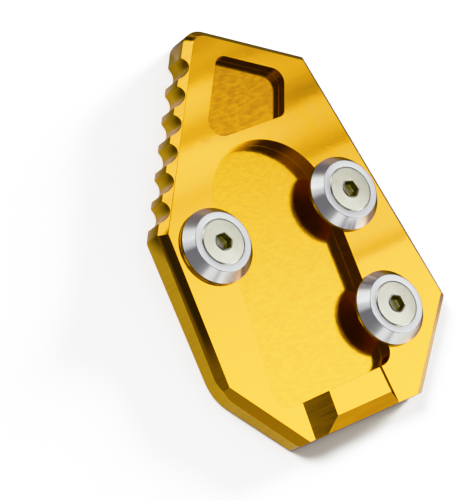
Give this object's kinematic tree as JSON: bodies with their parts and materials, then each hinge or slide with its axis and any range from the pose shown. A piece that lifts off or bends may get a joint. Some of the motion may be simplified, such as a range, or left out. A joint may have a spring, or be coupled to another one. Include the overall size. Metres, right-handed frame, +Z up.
{
  "type": "kickstand foot enlarger",
  "caption": "Flat machined plate with a recessed foot pocket and countersunk clamp discs, which spreads the load of a motorcycle side stand on soft ground.",
  "frame": {"origin": "middle of the plate's flat underside, which rests on the ground", "axes": "+Z up, +Y from the slot end towards the toe, +X to the right seen from above with the toe away"},
  "size_m": [0.0764, 0.1084, 0.0126],
  "materials": {
    "gold_anodised": "gold anodised, milled",
    "turned_aluminium": "bright turned",
    "stainless_steel": "satin"
  },
  "bodies": {
    "root": {"base_plate": "gold_anodised", "left_clamp_disc": "turned_aluminium", "left_clamp_screw": "stainless_steel", "right_clamp_disc": "turned_aluminium", "right_clamp_screw": "stainless_steel", "lower_right_clamp_disc": "turned_aluminium", "lower_right_clamp_screw": "stainless_steel"}
  },
  "joints": []
}
